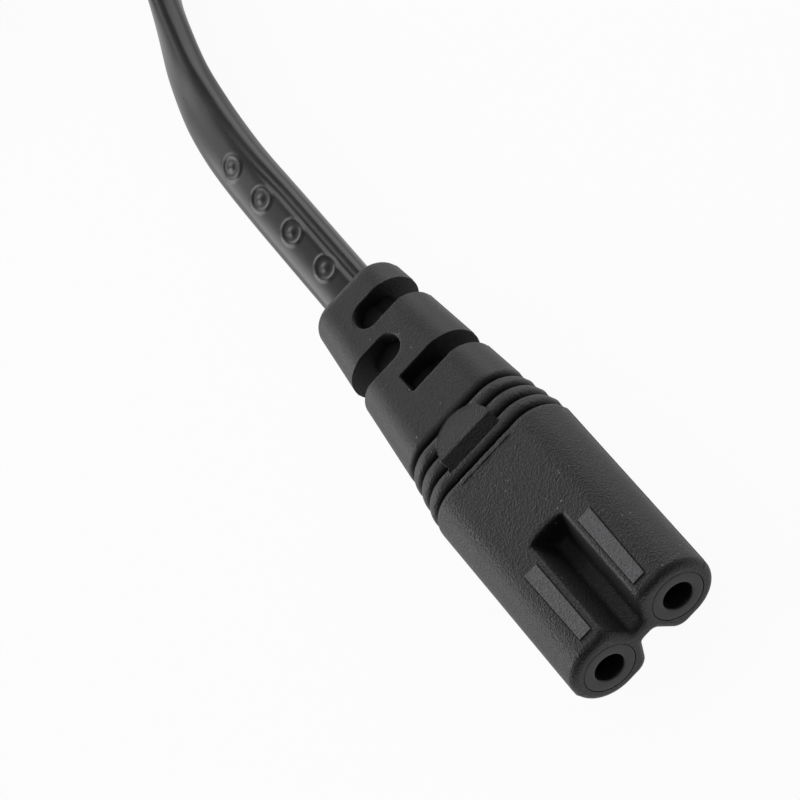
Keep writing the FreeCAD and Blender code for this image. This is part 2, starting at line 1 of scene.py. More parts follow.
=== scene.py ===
import bmesh
import bpy
import math
import numpy as np
from mathutils import Matrix, Vector
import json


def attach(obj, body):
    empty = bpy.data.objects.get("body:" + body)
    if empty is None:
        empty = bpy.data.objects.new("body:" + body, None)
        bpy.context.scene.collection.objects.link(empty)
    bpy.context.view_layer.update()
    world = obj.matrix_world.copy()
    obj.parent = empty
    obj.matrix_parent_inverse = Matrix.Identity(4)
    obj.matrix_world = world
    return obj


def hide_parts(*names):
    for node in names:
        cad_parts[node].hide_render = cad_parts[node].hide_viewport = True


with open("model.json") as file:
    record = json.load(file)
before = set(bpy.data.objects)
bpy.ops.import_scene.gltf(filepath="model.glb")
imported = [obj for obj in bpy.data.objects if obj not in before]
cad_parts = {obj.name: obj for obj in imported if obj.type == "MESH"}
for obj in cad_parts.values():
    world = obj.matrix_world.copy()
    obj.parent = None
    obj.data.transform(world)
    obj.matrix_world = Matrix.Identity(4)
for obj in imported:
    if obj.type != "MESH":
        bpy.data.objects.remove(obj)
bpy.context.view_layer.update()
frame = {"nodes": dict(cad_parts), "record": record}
scene = bpy.context.scene
scene.view_settings.view_transform = "Standard"
mm = 0.001


def addObject(name, data):
    added = bpy.data.objects.new(name, data)
    scene.collection.objects.link(added)
    return added


# camera at the photograph's angle
cameraSettings = {
    "place": (0.042563, -0.224786, 0.265390),
    "right": (0.67577, -0.48283, -0.55697),
    "up": (0.72592, 0.56714, 0.38910),
    "lens": 172.32,
    "nearest": 0.01,
}


def makeCamera(settings):
    right = Vector(settings["right"]).normalized()
    up = Vector(settings["up"]).normalized()
    turned = Matrix((right, up, right.cross(up))).transposed().to_4x4()
    camera = addObject("camera", bpy.data.cameras.new("camera"))
    camera.data.lens = settings["lens"]
    camera.data.clip_start = settings["nearest"]
    camera.matrix_world = Matrix.Translation(settings["place"]) @ turned
    scene.camera = camera


makeCamera(cameraSettings)
print("camera set")


class Wire:
    # a socket of a material's tree; maths on it adds Math nodes
    def __init__(self, tree, socket=None):
        self.tree = tree
        self.socket = socket

    def node(self, kind, settings=None, inputs=None, out=0):
        made = self.tree.nodes.new(kind)
        for name, value in (settings or {}).items():
            setattr(made, name, value)
        self.feed(made.inputs, inputs or {})
        return Wire(self.tree, made.outputs[out])

    def feed(self, sockets, values):
        for name, value in values.items():
            if isinstance(value, Wire):
                self.tree.links.new(value.socket, sockets[name])
            else:
                sockets[name].default_value = value

    def maths(self, operation, first, second):
        return self.node("ShaderNodeMath", {"operation": operation}, {0: first, 1: second})

    def __add__(self, other):
        return self.maths("ADD", self, other)

    def __radd__(self, other):
        return self.maths("ADD", other, self)

    def __sub__(self, other):
        return self.maths("SUBTRACT", self, other)

    def __rsub__(self, other):
        return self.maths("SUBTRACT", other, self)

    def __mul__(self, other):
        return self.maths("MULTIPLY", self, other)

    def __gt__(self, other):
        return self.maths("GREATER_THAN", self, other)

    def clamped(self):
        return self.node("ShaderNodeClamp", None, {0: self})

    def ramp(self, low, high):
        # 0 below low, 1 above high
        return self.node("ShaderNodeMapRange", {"interpolation_type": "SMOOTHSTEP"},
                         {"Value": self, "From Min": low, "From Max": high})

    def parts(self):
        split = self.tree.nodes.new("ShaderNodeSeparateXYZ")
        self.feed(split.inputs, {0: self})
        return [Wire(self.tree, socket) for socket in split.outputs]

    def scaled(self, factors):
        return self.node("ShaderNodeVectorMath", {"operation": "MULTIPLY"}, {0: self, 1: factors})

    def noise(self, scale, detail=3.0, rough=0.5):
        return self.node("ShaderNodeTexNoise", None,
                         {"Vector": self, "Scale": scale, "Detail": detail, "Roughness": rough})

    def cells(self, scale):
        return self.node("ShaderNodeTexVoronoi", None, {"Vector": self, "Scale": scale})

    def blend(self, first, second):
        # between two colours by this value
        return self.node("ShaderNodeMix", {"data_type": "RGBA"}, {0: self, 6: first, 7: second}, 2)

    def bump(self, strength, depth):
        return self.node("ShaderNodeBump", None, {"Height": self, "Strength": strength, "Distance": depth})


def tone(colour, share=1.0):
    return tuple(channel * share for channel in colour) + (1.0,)


def shaded(value, colour, shades, span=(0.3, 0.7)):
    # from the first share of a colour to the second as the value crosses the span
    return value.ramp(*span).blend(tone(colour, shades[0]), tone(colour, shades[1]))


def newFinish(name):
    # the material, a start for its nodes, the place on the object and the shader's inputs
    finish = bpy.data.materials.new(name)
    finish.use_nodes = True
    start = Wire(finish.node_tree)
    place = start.node("ShaderNodeTexCoord", None, None, "Object")
    return finish, start, place, finish.node_tree.nodes["Principled BSDF"].inputs


# moulded black PVC with a spark-eroded grain, edges painted lighter for wear and as painted highlight, and
# painted shade in its crevices; the connector's also has rough pads painted lighter, partly as painted light,
# and deeper painted shade in its slots
pvcSettings = {
    "colour": (0.016, 0.016, 0.01664),
    "shades": (0.75, 1.3),
    "fineShare": 0.6,
    # noise: scale, detail and roughness; relief: strength and depth
    "grain": {"noise": (6400.0, 2.0, 0.6), "pitScale": 4800.0, "pitShare": 0.6, "relief": (1.0, 0.000085)},
    "broadScale": 330.0,
    "roughness": {"least": 0.39, "grain": 0.12, "broad": 0.06, "pad": 0.2, "creviceShade": 0.3},
    # edges painted lighter: partly real wear, partly painted highlight on edges and rib crests
    "wearAndHighlight": {"colour": (0.05, 0.05, 0.052), "edge": (0.52, 0.6), "share": 0.7},
    # painted shade: a near-black colour and more roughness where ambient occlusion finds crevices, grooves
    # and slots
    "creviceShade": {"colour": (0.005, 0.005, 0.005), "reach": 4.0 * mm, "samples": 6, "open": (0.2, 0.78)},
    "sparkle": {"colour": (0.12, 0.12, 0.12), "noise": (9000.0, 1.0), "span": (0.62, 0.75), "share": 0.25},
    "flecks": {"colour": (0.3, 0.3, 0.3), "scale": 1100.0, "size": (0.05, 0.12), "share": 0.75,
               "noise": (240.0, 2.0), "patches": (0.47, 0.57)},
    # pad tops painted lighter: partly their rough etched finish, partly painted light on the up-facing flats
    "pad": {"colour": (0.135, 0.135, 0.1404), "shades": (0.7, 1.4), "noise": (7000.0, 2.0, 0.7),
            "above": (7.56 * mm, 7.6 * mm), "end": -15.0 * mm},
    "handle": {"blend": (0.0, 4.0 * mm), "smoother": 0.5, "slotShade": 0.24},
}


def mouldedPvc(name, settings, isConnector):
    finish, start, place, inputs = newFinish(name)
    along, height = place.parts()[1:]
    spark, roughness, fine = settings["grain"], settings["roughness"], settings["fineShare"]
    grain = place.noise(*spark["noise"])
    pits = place.cells(spark["pitScale"])
    broad = place.noise(settings["broadScale"])
    colour = shaded(grain * fine + broad * (1 - fine), settings["colour"], settings["shades"])
    rough = roughness["least"] + grain * roughness["grain"] + broad * roughness["broad"]
    relief = grain * (1 - spark["pitShare"]) + pits * spark["pitShare"]

    # painted highlight: edges and rib crests lightened where pointiness is high, partly real wear and partly
    # painted highlight
    wearAndHighlight, creviceShade = settings["wearAndHighlight"], settings["creviceShade"]
    edge = start.node("ShaderNodeNewGeometry", None, None, "Pointiness").ramp(*wearAndHighlight["edge"])
    colour = (edge * wearAndHighlight["share"]).blend(colour, tone(wearAndHighlight["colour"]))
    light = start.node("ShaderNodeAmbientOcclusion", {"only_local": True, "samples": creviceShade["samples"]},
                       {"Distance": creviceShade["reach"]}, "AO")
    if isConnector:
        pad, handle = settings["pad"], settings["handle"]
        # pad tops painted lighter: partly their rough etched finish, partly painted light on the up-facing
        # flats
        onPad = height.ramp(*pad["above"]) * (pad["end"] - along > 0)
        speckled = place.noise(*pad["noise"])
        colour = onPad.blend(colour, shaded(speckled, pad["colour"], pad["shades"]))
        rough = rough + onPad * roughness["pad"]
        # painted shade: deeper on the handle, so its slots come out darker
        onHandle = along.ramp(*handle["blend"])
        relief = relief * (1 - onHandle * handle["smoother"])
        light = light - onHandle * handle["slotShade"]
    # painted shade: where ambient occlusion finds a crevice, groove or slot the colour goes towards
    # near-black and the surface rougher
    paintedShade = 1 - light.ramp(*creviceShade["open"])
    colour = paintedShade.blend(colour, tone(creviceShade["colour"]))
    rough = rough + paintedShade * roughness["creviceShade"]

    sparkle, flecks = settings["sparkle"], settings["flecks"]
    glints = place.noise(*sparkle["noise"]).ramp(*sparkle["span"])
    colour = (glints * sparkle["share"]).blend(colour, tone(sparkle["colour"]))
    dust = 1 - place.cells(flecks["scale"]).ramp(*flecks["size"])
    patches = place.noise(*flecks["noise"]).ramp(*flecks["patches"])
    colour = (dust * patches * flecks["share"]).blend(colour, tone(flecks["colour"]))
    bump = relief.bump(*spark["relief"])
    start.feed(inputs, {"Base Color": colour, "Roughness": rough, "Normal": bump})
    return finish


# semi-gloss cord jacket with faint streaks along it
jacketSettings = {
    "colour": (0.024, 0.024, 0.02472),
    "shades": (0.85, 1.2),
    "broadScale": 160.0,
    "broadShare": 0.6,
    "fine": {"noise": (2600.0, 3.0, 0.6), "share": 0.5},
    "streaks": {"scale": (60.0, 4000.0, 0.0), "detail": 2.0},
    "roughness": {"least": 0.22, "fine": 0.08, "streaks": 0.08},
    "relief": (0.35, 0.00001),
}


def cordJacket(name, settings):
    finish, start, place, inputs = newFinish(name)
    grain, streaks, roughness = settings["fine"], settings["streaks"], settings["roughness"]
    fine = place.noise(*grain["noise"])
    broad = place.noise(settings["broadScale"])
    run = start.node("ShaderNodeUVMap", {"uv_map": "run"})
    streak = run.scaled(streaks["scale"]).noise(1.0, streaks["detail"])
    share = settings["broadShare"]
    colour = shaded(broad * share + streak * (1 - share), settings["colour"], settings["shades"])
    rough = roughness["least"] + fine * roughness["fine"] + streak * roughness["streaks"]
    relief = fine * grain["share"] + streak * (1 - grain["share"])
    bump = relief.bump(*settings["relief"])
    start.feed(inputs, {"Base Color": colour, "Roughness": rough, "Normal": bump})
    return finish


# smooth plastics: the socket insert and pin sleeves, the ties, and the cores' insulation in two colours
hardLook = {"shades": (0.85, 1.2), "broad": 300.0, "fine": (3000.0, 3.0), "relief": (0.25, 0.000008)}
coreLook = {"shades": (0.8, 1.15), "broad": 500.0, "fine": (2600.0, 2.0), "roughness": 0.36}
plasticSettings = {
    "socket insert plastic": {"colour": (0.022, 0.022, 0.022), "roughness": 0.34, **hardLook},
    "tie plastic": {"colour": (0.035, 0.035, 0.035), "roughness": 0.39, **hardLook},
    "brown insulation": {"colour": (0.2, 0.09, 0.045), **coreLook},
    "blue insulation": {"colour": (0.05, 0.16, 0.42), **coreLook},
    "fineRoughness": 0.12,
}


def smoothPlastic(name, settings):
    finish, start, place, inputs = newFinish(name)
    look = settings[name]
    fine = place.noise(*look["fine"])
    colour = shaded(place.noise(look["broad"]), look["colour"], look["shades"])
    rough = look["roughness"] + fine * settings["fineRoughness"]
    start.feed(inputs, {"Base Color": colour, "Roughness": rough})
    if "relief" in look:
        start.feed(inputs, {"Normal": fine.bump(*look["relief"])})
    return finish


# bright metals: contact brass, stranded copper and nickel plate
metalSettings = {
    "contact brass": {"colour": (0.78, 0.62, 0.33), "roughness": 0.2},
    "stranded copper": {"colour": (0.72, 0.43, 0.27), "roughness": 0.25},
    "nickel plate": {"colour": (0.56, 0.55, 0.52), "roughness": 0.22},
    "stain": {"scale": 300.0, "shades": (1.0, 0.82), "span": (0.35, 0.75)},
    "drawn": {"scale": (3200.0, 500.0, 3200.0), "roughness": 0.12},
    "relief": (0.2, 0.000006),
}


def brightMetal(name, settings):
    finish, start, place, inputs = newFinish(name)
    look, stain, drawn = settings[name], settings["stain"], settings["drawn"]
    lines = place.scaled(drawn["scale"]).noise(1.0)
    colour = shaded(place.noise(stain["scale"]), look["colour"], stain["shades"], stain["span"])
    rough = look["roughness"] + lines * drawn["roughness"]
    bump = lines.bump(*settings["relief"])
    start.feed(inputs, {"Base Color": colour, "Metallic": 1.0, "Roughness": rough, "Normal": bump})
    return finish


finishes = {
    "moulded_pvc": mouldedPvc("moulded PVC", pvcSettings, False),
    "socket_insert": smoothPlastic("socket insert plastic", plasticSettings),
    "cord_jacket": cordJacket("cord jacket", jacketSettings),
    "tie_plastic": smoothPlastic("tie plastic", plasticSettings),
    "contact_brass": brightMetal("contact brass", metalSettings),
    "conductor_copper": brightMetal("stranded copper", metalSettings),
    "brown_insulation": smoothPlastic("brown insulation", plasticSettings),
    "blue_insulation": smoothPlastic("blue insulation", plasticSettings),
    "pin_nickel": brightMetal("nickel plate", metalSettings),
}
for row in frame["record"]["subparts"]:
    node = frame["nodes"][row["node"]]
    node.data.materials.clear()
    node.data.materials.append(finishes[row["material_slot"]])
print("finishes made", len(finishes))


# flat twin cord: from the connector to the hank, round it five times and into the plug
cordSettings = {
    "width": 5.8 * mm,
    "thickness": 3.3 * mm,
    "ovalPower": 2.6,
    "ovalSteps": 4001,
    "around": 92,
    "length": 1.5,
    "exit": (0.0, 0.0261, 0.00375),
    # millimetres along the cord and roll in degrees; below zero the right edge goes up
    "rolls": [(0, 0), (14, -2), (22, -7), (35, -8), (41, -15), (47, -17), (52.7, -25), (57.4, -38), (62, -46),
              (66, -58), (69, -65), (75, -76), (95, -90), (113, -90)],
    # the same, counted from the far end
    "tailRolls": [(-118, -90), (-50, -90), (-42, -66), (-32, -24), (-22, -3), (-12, 0), (0, 0)],
    "rollSteps": 6000,
    "rollReach": 12,
    "splineSteps": 40,
    # start, end and step of the rows up to the hank, closest at the raised rings
    "spans": [(0.0, 17.0, 0.6), (17.0, 52.0, 0.14), (52.0, 113.0, 0.45)],
    "hankRows": 600,
    "valley": {"across": 1.62 * mm, "half": 0.46 * mm, "depth": 0.3 * mm, "fade": (34.0, 52.0)},
    # millimetres along the cord and shift to the right of its middle
    "rings": [(23.55, 0.2 * mm), (30.25, 0.0), (36.65, -0.17 * mm), (42.95, -0.25 * mm)],
    "ringHalves": (1.5 * mm, 1.12 * mm),
    "ridgeShare": 0.2,
    "ridgeHeight": 0.09 * mm,
    "dotShare": 0.42,
}
leadRoute = [(0, 0.0069, 0.00375), (0, 0.0333, 0.00375), (0.0, 0.06, 0.0031), (0.0056, 0.078, 0.0029),
             (0.0112, 0.0915, 0.0029), (0.0174, 0.1041, 0.0033), (0.0243, 0.115, 0.0036)]
tailRoute = [(-0.022, 0.131, 0.0096), (-0.022, 0.1206, 0.0096), (-0.0156, 0.1094, 0.0098),
             (-0.0044, 0.103, 0.0103), (0.0082, 0.103, 0.011), (0.0185, 0.109, 0.0123),
             (0.0252, 0.1185, 0.0156), (0.0229, 0.1315, 0.0172), (0.016148, 0.143983, 0.01945),
             (0.011412, 0.161659, 0.01945)]
hankSettings = {
    "across": 0.002,
    "nearEnd": 0.127,
    "farEnd": 0.199,
    "radius": 0.024,
    "pitch": 0.00365,
    "lowLayer": 0.0036,
    "layerStep": 0.006,
    "turns": 5,
    "arcStep": 30,
    "sideParts": 4,
    # degrees wound over which the cord moves a pitch in, a pitch out or a layer up
    "inward": [(295, 345), (655, 705)],
    "outward": [(1200, 1250), (1560, 1610)],
    "climb": (900, 1010),
}


def smoothStep(value, low, high):
    share = min(max((value - low) / (high - low), 0.0), 1.0)
    return share * share * (3.0 - 2.0 * share)


def hankPoint(settings, angle, along, widen):
    shift = sum(smoothStep(angle, *span) for span in settings["inward"])
    shift -= sum(smoothStep(angle, *span) for span in settings["outward"])
    radius = (settings["radius"] - shift * settings["pitch"]) * widen
    height = settings["lowLayer"] + settings["layerStep"] * smoothStep(angle, *settings["climb"])
    turned = math.radians(angle)
    return (settings["across"] + radius * math.sin(turned), along - radius * math.cos(turned), height)


def hankRoute(settings):
    # each turn: round the near end, up the right side, round the far end, down the left side
    step, parts = settings["arcStep"], settings["sideParts"]
    widen = 1.0 / math.cos(math.radians(step / 2))
    ends = settings["nearEnd"], settings["farEnd"]
    route = []
    for half in range(2 * settings["turns"]):
        start, end, other = half * 180 - 90, ends[half % 2], ends[1 - half % 2]
        if half > 0:
            route += [hankPoint(settings, start + angle, end, widen if angle else 1.0)
                      for angle in range(0, 180, step)]
        route += [hankPoint(settings, start + 180, end + (other - end) / parts * part, 1.0)
                  for part in range(parts)]
    return route


def splinePoints(route, resolution):
    curve = bpy.data.curves.new("cordRoute", "CURVE")
    curve.dimensions = "3D"
    spline = curve.splines.new("NURBS")
    spline.points.add(len(route) - 1)
    for point, place in zip(spline.points, route):
        point.co = (*place, 1.0)
    spline.order_u = 3
    spline.use_endpoint_u = True
    spline.resolution_u = resolution
    holder = addObject("cordRoute", curve)
    line = bpy.data.meshes.new_from_object(holder)
    points = np.array([vertex.co for vertex in line.vertices])
    bpy.data.objects.remove(holder)
    bpy.data.curves.remove(curve)
    bpy.data.meshes.remove(line)
    return points


def circle(count):
    return np.linspace(0, 2 * math.pi, count + 1)[:-1]


def quarter(count):
    return np.linspace(0, math.pi / 2, count)


def unit(rows):
    return rows / np.linalg.norm(rows, axis=1)[:, None]


def runLength(points):
    # how far along a line of points each of them is
    return np.concatenate([[0], np.cumsum(np.linalg.norm(np.diff(points, axis=0), axis=1))])


def smoothed(values, reach):
    window = np.hanning(2 * reach + 1)
    padded = np.pad(values, reach, mode="edge")
    return np.convolve(padded, window / window.sum(), mode="valid")


def cordSection(settings):
    # a flat oval, evenly spaced round its outline, from the left edge over the top
    power = 2 / settings["ovalPower"]
    turned = np.linspace(math.pi, 0, settings["ovalSteps"])
    across = settings["width"] / 2 * np.sign(np.cos(turned)) * np.abs(np.cos(turned)) ** power
    height = settings["thickness"] / 2 * np.sin(turned) ** power
    run = runLength(np.column_stack([across, height]))
    half = np.linspace(0, run[-1], settings["around"] // 2 + 1)
    top = np.column_stack([np.interp(half, run, across), np.interp(half, run, height)])
    bottom = np.column_stack([top[::-1, 0], -top[::-1, 1]])
    return np.vstack([top[:-1], bottom[:-1]])


def cordFrames(settings, route):
    # rows along the cord, with the middle, the wide direction and the tall direction of each
    points = splinePoints(route, settings["splineSteps"])
    steps = np.linalg.norm(np.diff(points, axis=0), axis=1)
    points = points[np.concatenate([[True], steps > 1e-9])]
    run = runLength(points)
    total = run[-1]
    spans = [np.arange(*span) for span in settings["spans"]]
    hank = np.linspace(settings["spans"][-1][1], total / mm, settings["hankRows"])
    stations = np.concatenate(spans + [hank]) * mm
    centres = np.column_stack([np.interp(stations, run, points[:, axis]) for axis in range(3)])
    ahead = unit(np.gradient(centres, stations, axis=0))
    side = unit(np.cross(ahead, (0.0, 0.0, 1.0)))
    up = np.cross(side, ahead)

    keys = settings["rolls"] + [(total / mm + place, roll) for place, roll in settings["tailRolls"]]
    even = np.linspace(0, total, settings["rollSteps"])
    rolls = smoothed(np.interp(even / mm, *zip(*keys)), settings["rollReach"])
    roll = np.radians(np.interp(stations, even, rolls))[:, None]
    wide = side * np.cos(roll) - up * np.sin(roll)
    tall = up * np.cos(roll) + side * np.sin(roll)
    return stations, centres, wide, tall


def cordRelief(settings, stations, section):
    # height over the plain section of the rings with their dots, and of the valley between the cores
    run = runLength(section)
    onTop = section[:, 1] > 0
    crest, middle = np.interp((0.0, settings["valley"]["across"]), section[onTop, 0], run[onTop])
    alongHalf, acrossHalf = settings["ringHalves"]
    raised = np.zeros((len(stations), len(section)))
    for place, shift in settings["rings"]:
        apart = np.hypot((stations[:, None] - place * mm) / alongHalf,
                         (run[None, :] - crest - shift) / acrossHalf)
        ring = np.clip(1 - np.abs(apart - 1) / settings["ridgeShare"], 0, 1)
        dot = np.clip(1 - apart / settings["dotShare"], 0, 1)
        raised += settings["ridgeHeight"] * np.maximum(ring * (2 - ring), dot * (2 - dot))
    raised *= onTop[None, :]
    valley = settings["valley"]
    bell = np.exp(-((run - middle) / valley["half"]) ** 2)
    fade = 1 - np.array([smoothStep(station / mm, *valley["fade"]) for station in stations])
    return raised - valley["depth"] * fade[:, None] * bell[None, :]


def numbered(places):
    rows, columns = places.shape[:2]
    return np.arange(rows * columns).reshape(rows, columns)


def skinFaces(number):
    # quads between neighbouring rows of closed outlines
    beside = np.roll(number, -1, axis=1)
    quads = np.stack([number[:-1], beside[:-1], beside[1:], number[1:]], axis=-1)
    return [tuple(quad) for quad in quads.reshape(-1, 4).tolist()]


def newMesh(name, places, faces):
    mesh = bpy.data.meshes.new(name)
    mesh.from_pydata(places.reshape(-1, 3).tolist(), [], faces)
    return mesh


def makeCord(settings, route):
    stations, centres, wide, tall = cordFrames(settings, route)
    section = cordSection(settings)
    around = unit(np.roll(section, -1, axis=0) - np.roll(section, 1, axis=0))
    outward = np.column_stack([-around[:, 1], around[:, 0]])
    raised = cordRelief(settings, stations, section)
    offset = section[None, :, :] + raised[:, :, None] * outward[None, :, :]
    places = centres[:, None, :] + offset[:, :, :1] * wide[:, None, :] + offset[:, :, 1:] * tall[:, None, :]
    number = numbered(places)
    ends = [tuple(number[0, ::-1].tolist()), tuple(number[-1].tolist())]
    mesh = newMesh("cord", places, skinFaces(number) + ends)
    mesh.shade_smooth()

    # length along and round the cord, for the streaks of its jacket
    layer = mesh.uv_layers.new(name="run")
    loops = np.zeros(len(mesh.loops), dtype=np.int32)
    mesh.loops.foreach_get("vertex_index", loops)
    columns = len(section)
    runs = np.column_stack([stations[loops // columns], runLength(section)[loops % columns]])
    layer.data.foreach_set("uv", runs.astype(np.float32).ravel())
    return addObject("cord", mesh), centres


cord, cordLine = makeCord(cordSettings, leadRoute + hankRoute(hankSettings) + tailRoute)
cord.data.materials.append(finishes["cord_jacket"])
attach(cord, "root")
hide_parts("cord_lead", "cord_hank", "cord_tail")
print("cord made", len(cord.data.polygons), "faces")


# moulded connector body: drawn in millimetres from the mating face, about its middle plane
bodySettings = {
    "faceMiddle": (0.0, -26.1, 3.75),
    "length": 52.2,
    "faceRound": 0.8,
    "lobeCentre": 4.3,
    "lobeRadius": 3.75,
    "noseEnd": 24.0,
    # half width and height above the middle plane
    "grooveFloor": (0.7, 1.0),
    "grooveMouth": 2.1,
    "floorRound": 0.6,
    "mouthRound": 0.5,
    "mouthRoundAtFace": 1.7,
    "mouthBlend": 1.4,
    # place along and share of the groove's depth there
    "grooveWall": [(12.3, 1.0), (12.5, 0.96), (12.68, 0.88), (12.8, 0.75), (12.86, 0.6), (12.89, 0.45),
                   (12.92, 0.3), (12.95, 0.16), (12.99, 0.07), (13.06, 0.02), (13.16, 0.0)],
    "wallBow": {"rise": (11.4, 12.9), "fall": (13.0, 14.5), "reach": 1.4, "power": 4, "depth": 0.25},
    "pad": {"start": 1.5, "end": 10.8, "inner": 2.65, "outer": (4.05, 4.2), "setback": 0.175, "step": 0.13,
            "edge": 0.035, "dip": 0.06},
    "columns": {"floor": 5, "floorRound": 7, "wall": 9, "mouthRound": 9, "pad": 6, "arc": 46},
    "evenFrom": (14.0, 22.0),
    "ribs": {"start": 24.28, "pitch": 1.9, "count": 3, "depth": 0.72, "share": 0.93, "power": 2.5},
    "handleStart": 30.25,
    "handleFront": (7.0, 3.65),
    "handleRear": (4.95, 2.95),
    "rearRound": 1.1,
    "softEdge": 0.08,
    "thumb": {"half": 3.2, "front": 25.3, "foot": (25.55, 3.2), "crest": (26.85, 3.98), "rear": (30.05, 3.74),
              "end": 30.35, "lip": 0.05, "lipHalf": 0.1, "frontLip": 0.4},
    "strip": {"start": 23.3, "end": 23.9, "step": 0.1, "least": 0.65, "ragged": 0.35, "waves": (5.3, 2.1)},
    "seam": {"height": 0.05, "half": 0.1, "crowding": 1.25},
    # rows between the features
    "rows": {"round": 10, "nose": [1.0, 1.25], "pad": 30, "wall": [11.2, 11.6, 12.0], "top": (23.24, 26),
             "ribs": (23.4, 31.2, 112), "handle": 46},
    # reach past the middle, side, start, width and whether the inner end is round
    "slots": [(-1.1, 1, 35.8, 2.4, False), (-1.1, -1, 40.5, 3.0, True), (-1.1, 1, 45.5, 3.0, True)],
    "slotOutside": 9.0,
    "slotAbove": 2.0,
    "slotCorner": 0.25,
    "slotRound": 0.3,
    "slotSteps": 13,
    "lipSteps": 7,
    "seatRadius": 2.635,
    "seatSpan": (-2.0, 17.6),
    "seatSides": 96,
    "sharp": 38,
}


def roundedCorner(before, corner, after, radius, count):
    # points of the arc that rounds one corner
    corner = np.array(corner)
    back, ahead = unit(np.array([before, after]) - corner)
    half = math.acos(float(np.dot(back, ahead))) / 2
    trim = radius / math.tan(half)
    inward = (back + ahead) / np.linalg.norm(back + ahead)
    centre = corner + inward * radius / math.sin(half)
    first, last = corner + back * trim - centre, corner + ahead * trim - centre
    sweep = math.atan2(first[0] * last[1] - first[1] * last[0], float(np.dot(first, last)))
    turned = np.linspace(0, sweep, count)
    return centre + np.column_stack([first[0] * np.cos(turned) - first[1] * np.sin(turned),
                                     first[0] * np.sin(turned) + first[1] * np.cos(turned)])


def grooveHalf(settings, y):
    # right half of the top outline with its groove, from the middle to the lobe's centre
    columns, pad = settings["columns"], settings["pad"]
    share = smoothStep(y, 0.0, settings["mouthBlend"])
    mouth = settings["mouthRoundAtFace"] * (1 - share) + settings["mouthRound"] * share
    top, centre = settings["lobeRadius"], settings["lobeCentre"]
    floorHalf, floor = settings["grooveFloor"]
    corners = [(0.0, floor), (floorHalf, floor), (settings["grooveMouth"], top), (centre, top)]
    low = roundedCorner(*corners[:3], settings["floorRound"], columns["floorRound"])
    high = roundedCorner(*corners[1:], mouth, columns["mouthRound"])
    flat = np.linspace(corners[0], low[0], columns["floor"])[:-1]
    wall = np.linspace(low[-1], high[0], columns["wall"])[1:-1]
    edge = pad["edge"]
    inner = max(pad["inner"], high[-1][0] + pad["setback"])
    outer = np.interp(y, (pad["start"], pad["end"]), pad["outer"])
    across = [inner - 2 * edge, inner - edge] + list(np.linspace(inner + edge, outer - edge, columns["pad"]))
    across += [outer + edge, outer + 2 * edge, centre]
    rest = np.array([(place, top) for place in across])
    return np.vstack([flat, low, wall, high, rest])


def bodySize(settings, y):
    # half width and edge radius of the plain outline at a place along the body
    radius = settings["lobeRadius"]
    places = (settings["noseEnd"], settings["handleStart"], settings["length"])
    sizes = [(settings["lobeCentre"] + radius, radius), settings["handleFront"], settings["handleRear"]]
    return [float(np.interp(y, places, size)) for size in zip(*sizes)]


def ribDip(settings, y):
    # how far the surface lies below the ribs' crests, with half a rib's fall at each end
    ribs = settings["ribs"]
    place, power = (y - ribs["start"]) / ribs["pitch"], ribs["power"]
    if not -0.5 < place < ribs["count"] + 0.5:
        return 0.0
    apart = min(abs(place % 1 * 2 - 1) / ribs["share"], 1.0)
    return ribs["depth"] * (1 - (1 - apart ** power) ** (1 / power))


def bodyRows(settings):
    rows, pad = settings["rows"], settings["pad"]
    turned = quarter(rows["round"])
    edge, strip = pad["edge"], settings["strip"]["start"]
    wall = [place for place, share in settings["grooveWall"]]
    length, rear = settings["length"], settings["rearRound"]
    return np.concatenate([
        settings["faceRound"] * (1 - np.cos(turned)),
        rows["nose"],
        [pad["start"] - edge],
        np.linspace(pad["start"] + edge, pad["end"] - edge, rows["pad"]),
        [pad["end"] + edge],
        rows["wall"],
        wall,
        np.linspace(wall[-1], *rows["top"])[1:],
        [strip - edge, strip + edge],
        np.linspace(*rows["ribs"]),
        np.linspace(rows["ribs"][1], length - rear, rows["handle"])[1:-1],
        length - rear * (1 - np.sin(turned)),
    ])


def thumbHeight(settings, across, y, height):
    # a D-shaped mark over the ribs with a short front slope, a ledge and a thin lip round its edge
    thumb = settings["thumb"]
    half = thumb["half"]
    shoulder = thumb["rear"][0] - half
    inside = half - np.hypot(across, max(y - shoulder, 0.0))
    marks = [(thumb["front"], thumb["foot"][1]), thumb["foot"], thumb["crest"], thumb["rear"]]
    level = np.interp(y, *zip(*marks))
    share = np.clip(inside / settings["softEdge"] + 0.5, 0.0, 1.0)
    lip = thumb["lip"] * np.exp(-(inside / thumb["lipHalf"]) ** 2)
    if y <= thumb["crest"][0]:
        lip = lip * thumb["frontLip"]
    return height * (1 - share) + level * share + lip


